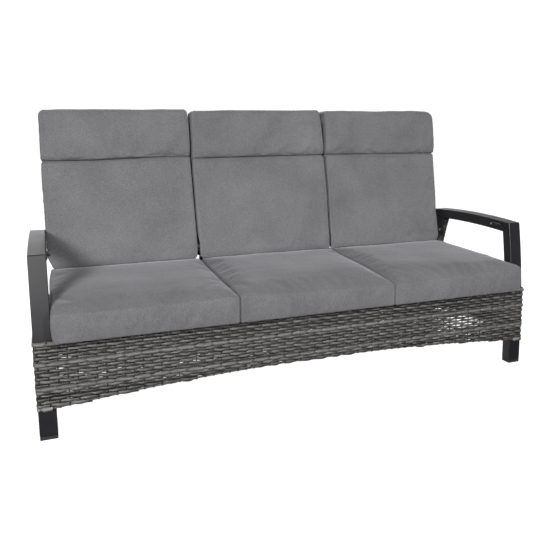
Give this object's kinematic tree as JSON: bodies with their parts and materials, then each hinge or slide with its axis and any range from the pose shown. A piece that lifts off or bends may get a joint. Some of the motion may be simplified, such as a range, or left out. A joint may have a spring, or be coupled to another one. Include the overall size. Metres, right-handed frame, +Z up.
{
  "type": "reclining garden sofa",
  "caption": "High-back garden sofa with open metal arm loops, loose seat and back cushions, a woven apron with an arched lower edge, and outer backs that recline on gas springs.",
  "frame": {"origin": "middle of the overall width and depth, at floor level under the feet", "axes": "+X runs along the sofa towards the picture's right, -Y is the side one sits down from, +Z is up. Names ending in left and right are as seen by someone who stands in front of the sofa and faces it."},
  "size_m": [1.92, 0.772, 1.069],
  "materials": {
    "frame_paint": "satin",
    "inner_paint": "satin",
    "wicker": "satin",
    "cushion_cloth": "matte",
    "steel": "satin",
    "black_plastic": "matte"
  },
  "bodies": {
    "frame": {"front_post_left": "frame_paint", "front_post_right": "frame_paint", "armrest_left": "frame_paint", "armrest_right": "frame_paint", "arm_end_plug_left": "black_plastic", "arm_end_plug_right": "black_plastic", "rear_post_left": "frame_paint", "rear_post_right": "frame_paint", "post_wrap_left": "wicker", "post_wrap_right": "wicker", "hinge_horn_left": "inner_paint", "hinge_horn_right": "inner_paint", "pivot_pin_left": "steel", "pivot_pin_right": "steel", "foot_plug_front_left": "black_plastic", "foot_plug_front_right": "black_plastic", "foot_plug_rear_left": "black_plastic", "foot_plug_rear_right": "black_plastic", "seat_rail_left": "inner_paint", "seat_rail_right": "inner_paint", "seat_rail_front": "inner_paint", "seat_rail_middle": "inner_paint", "seat_rail_rear": "inner_paint", "rear_cross_rail": "inner_paint", "apron_rail_rear": "inner_paint", "apron_front": "wicker", "apron_rear": "wicker", "apron_left": "wicker", "apron_right": "wicker", "seat_deck_left": "wicker", "seat_deck_middle": "wicker", "seat_deck_right": "wicker", "back_frame_middle": "frame_paint", "back_panel_middle": "wicker", "back_strut_left": "inner_paint", "back_strut_right": "inner_paint", "pivot_pin_inner_left": "steel", "pivot_pin_inner_right": "steel", "back_cushion_middle": "cushion_cloth", "seat_cushion_left": "cushion_cloth", "seat_cushion_middle": "cushion_cloth", "seat_cushion_right": "cushion_cloth"},
    "back_left": {"back_frame_left": "frame_paint", "back_panel_left": "wicker", "hinge_plate_outer_left": "inner_paint", "hinge_plate_inner_left": "inner_paint", "spring_lever_left": "inner_paint", "back_cushion_left": "cushion_cloth"},
    "back_right": {"back_frame_right": "frame_paint", "back_panel_right": "wicker", "hinge_plate_outer_right": "inner_paint", "hinge_plate_inner_right": "inner_paint", "spring_lever_right": "inner_paint", "back_cushion_right": "cushion_cloth"},
    "cylinder_left": {"gas_cylinder_left": "black_plastic"},
    "cylinder_right": {"gas_cylinder_right": "black_plastic"},
    "rod_left": {"gas_rod_left": "steel"},
    "rod_right": {"gas_rod_right": "steel"},
    "lever_left": {"release_lever_left": "black_plastic"},
    "lever_right": {"release_lever_right": "black_plastic"}
  },
  "joints": [
    {"name": "recline_left", "type": "hinge", "parent": "frame", "child": "back_left", "pos_m": [-0.5962, 0.186, 0.506], "axis": [-1, 0, 0], "range_deg": [0, 22]},
    {"name": "recline_right", "type": "hinge", "parent": "frame", "child": "back_right", "pos_m": [0.5962, 0.186, 0.506], "axis": [-1, 0, 0], "range_deg": [0, 22]},
    {"name": "cylinder_swing_left", "type": "hinge", "parent": "frame", "child": "cylinder_left", "pos_m": [-0.598, -0.132, 0.245], "axis": [-1, 0, 0], "range_deg": [0, 3.25]},
    {"name": "cylinder_swing_right", "type": "hinge", "parent": "frame", "child": "cylinder_right", "pos_m": [0.598, -0.132, 0.245], "axis": [-1, 0, 0], "range_deg": [0, 3.25]},
    {"name": "rod_slide_left", "type": "slide", "parent": "cylinder_left", "child": "rod_left", "axis": [0, -0.9957, -0.0931], "range_m": [0, 0.0925]},
    {"name": "rod_slide_right", "type": "slide", "parent": "cylinder_right", "child": "rod_right", "axis": [0, -0.9957, -0.0931], "range_m": [0, 0.0925]},
    {"name": "release_lever_left", "type": "hinge", "parent": "frame", "child": "lever_left", "pos_m": [-0.891, -0.206, 0.582], "axis": [-1, 0, 0], "range_deg": [0, 12], "stiffness_Nm_per_rad": 0.6},
    {"name": "release_lever_right", "type": "hinge", "parent": "frame", "child": "lever_right", "pos_m": [0.891, -0.206, 0.582], "axis": [-1, 0, 0], "range_deg": [0, 12], "stiffness_Nm_per_rad": 0.6}
  ],
  "couplings": [
    {"joint": "cylinder_swing_left", "follows": "recline_left", "ratio": 0.1448},
    {"joint": "cylinder_swing_right", "follows": "recline_right", "ratio": 0.1448},
    {"joint": "rod_slide_left", "follows": "recline_left", "m_per_rad": 0.2393},
    {"joint": "rod_slide_right", "follows": "recline_right", "m_per_rad": 0.2393}
  ]
}
